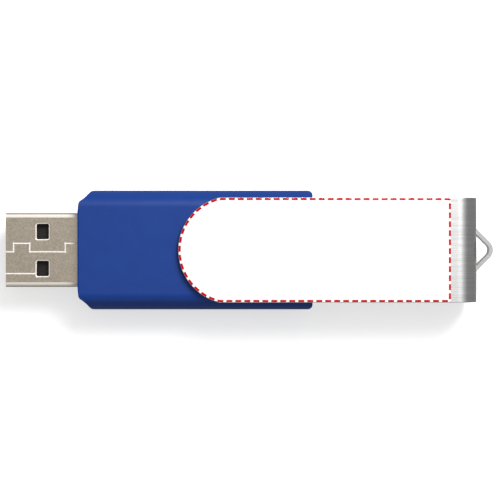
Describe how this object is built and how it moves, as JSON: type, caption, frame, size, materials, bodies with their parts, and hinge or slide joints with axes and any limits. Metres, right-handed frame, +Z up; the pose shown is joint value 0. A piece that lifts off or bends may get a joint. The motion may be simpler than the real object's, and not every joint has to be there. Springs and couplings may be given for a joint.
{
  "type": "usb flash drive",
  "caption": "Flat USB flash drive with a two-part moulded housing, a full-size plug and a folded sheet-metal cover that swivels about the housing and carries a key loop.",
  "frame": {"origin": "on the cover's pivot axis, at the underside of the cover's lower arm, which the drive rests on", "axes": "+X along the drive from the plug to the key loop, +Y across it, +Z up along the pivot axis"},
  "size_m": [0.0792, 0.0194, 0.0105],
  "materials": {
    "housing_plastic": "fine matte moulded texture",
    "cover_aluminium": "brushed along its length",
    "stud_metal": "turned, bright",
    "white_film": "smooth white with a red dashed printed edge",
    "plug_steel": "nickel plated, satin",
    "black_plastic": "moulded",
    "gold_plate": "gold plated",
    "board_laminate": "green solder mask over glass laminate",
    "chip_resin": "moulded epoxy",
    "tin_plate": "tin plated or soldered",
    "component_ceramic": "fired, matte"
  },
  "bodies": {
    "drive": {"upper_shell": "housing_plastic", "lower_shell": "housing_plastic", "plug_shell": "plug_steel", "plug_insulator": "black_plastic", "power_contact": "gold_plate", "data_minus_contact": "gold_plate", "data_plus_contact": "gold_plate", "ground_contact": "gold_plate", "circuit_board": "board_laminate", "memory_chip": "chip_resin", "memory_chip_leads": "tin_plate", "controller_chip": "chip_resin", "controller_chip_leads": "tin_plate", "crystal_base": "component_ceramic", "crystal_lid": "plug_steel", "voltage_regulator": "chip_resin", "voltage_regulator_leads": "tin_plate", "capacitors": "component_ceramic", "capacitor_ends": "tin_plate", "resistors": "black_plastic", "resistor_ends": "tin_plate", "solder_joints": "tin_plate"},
    "cover": {"swivel_cover": "cover_aluminium", "upper_pivot_stud": "stud_metal", "lower_pivot_stud": "stud_metal", "print_film": "white_film"}
  },
  "joints": [
    {"name": "cover_swivel", "type": "hinge", "parent": "drive", "child": "cover", "pos_m": [0, 0, 0], "axis": [0, 0, 1], "continuous": true}
  ]
}
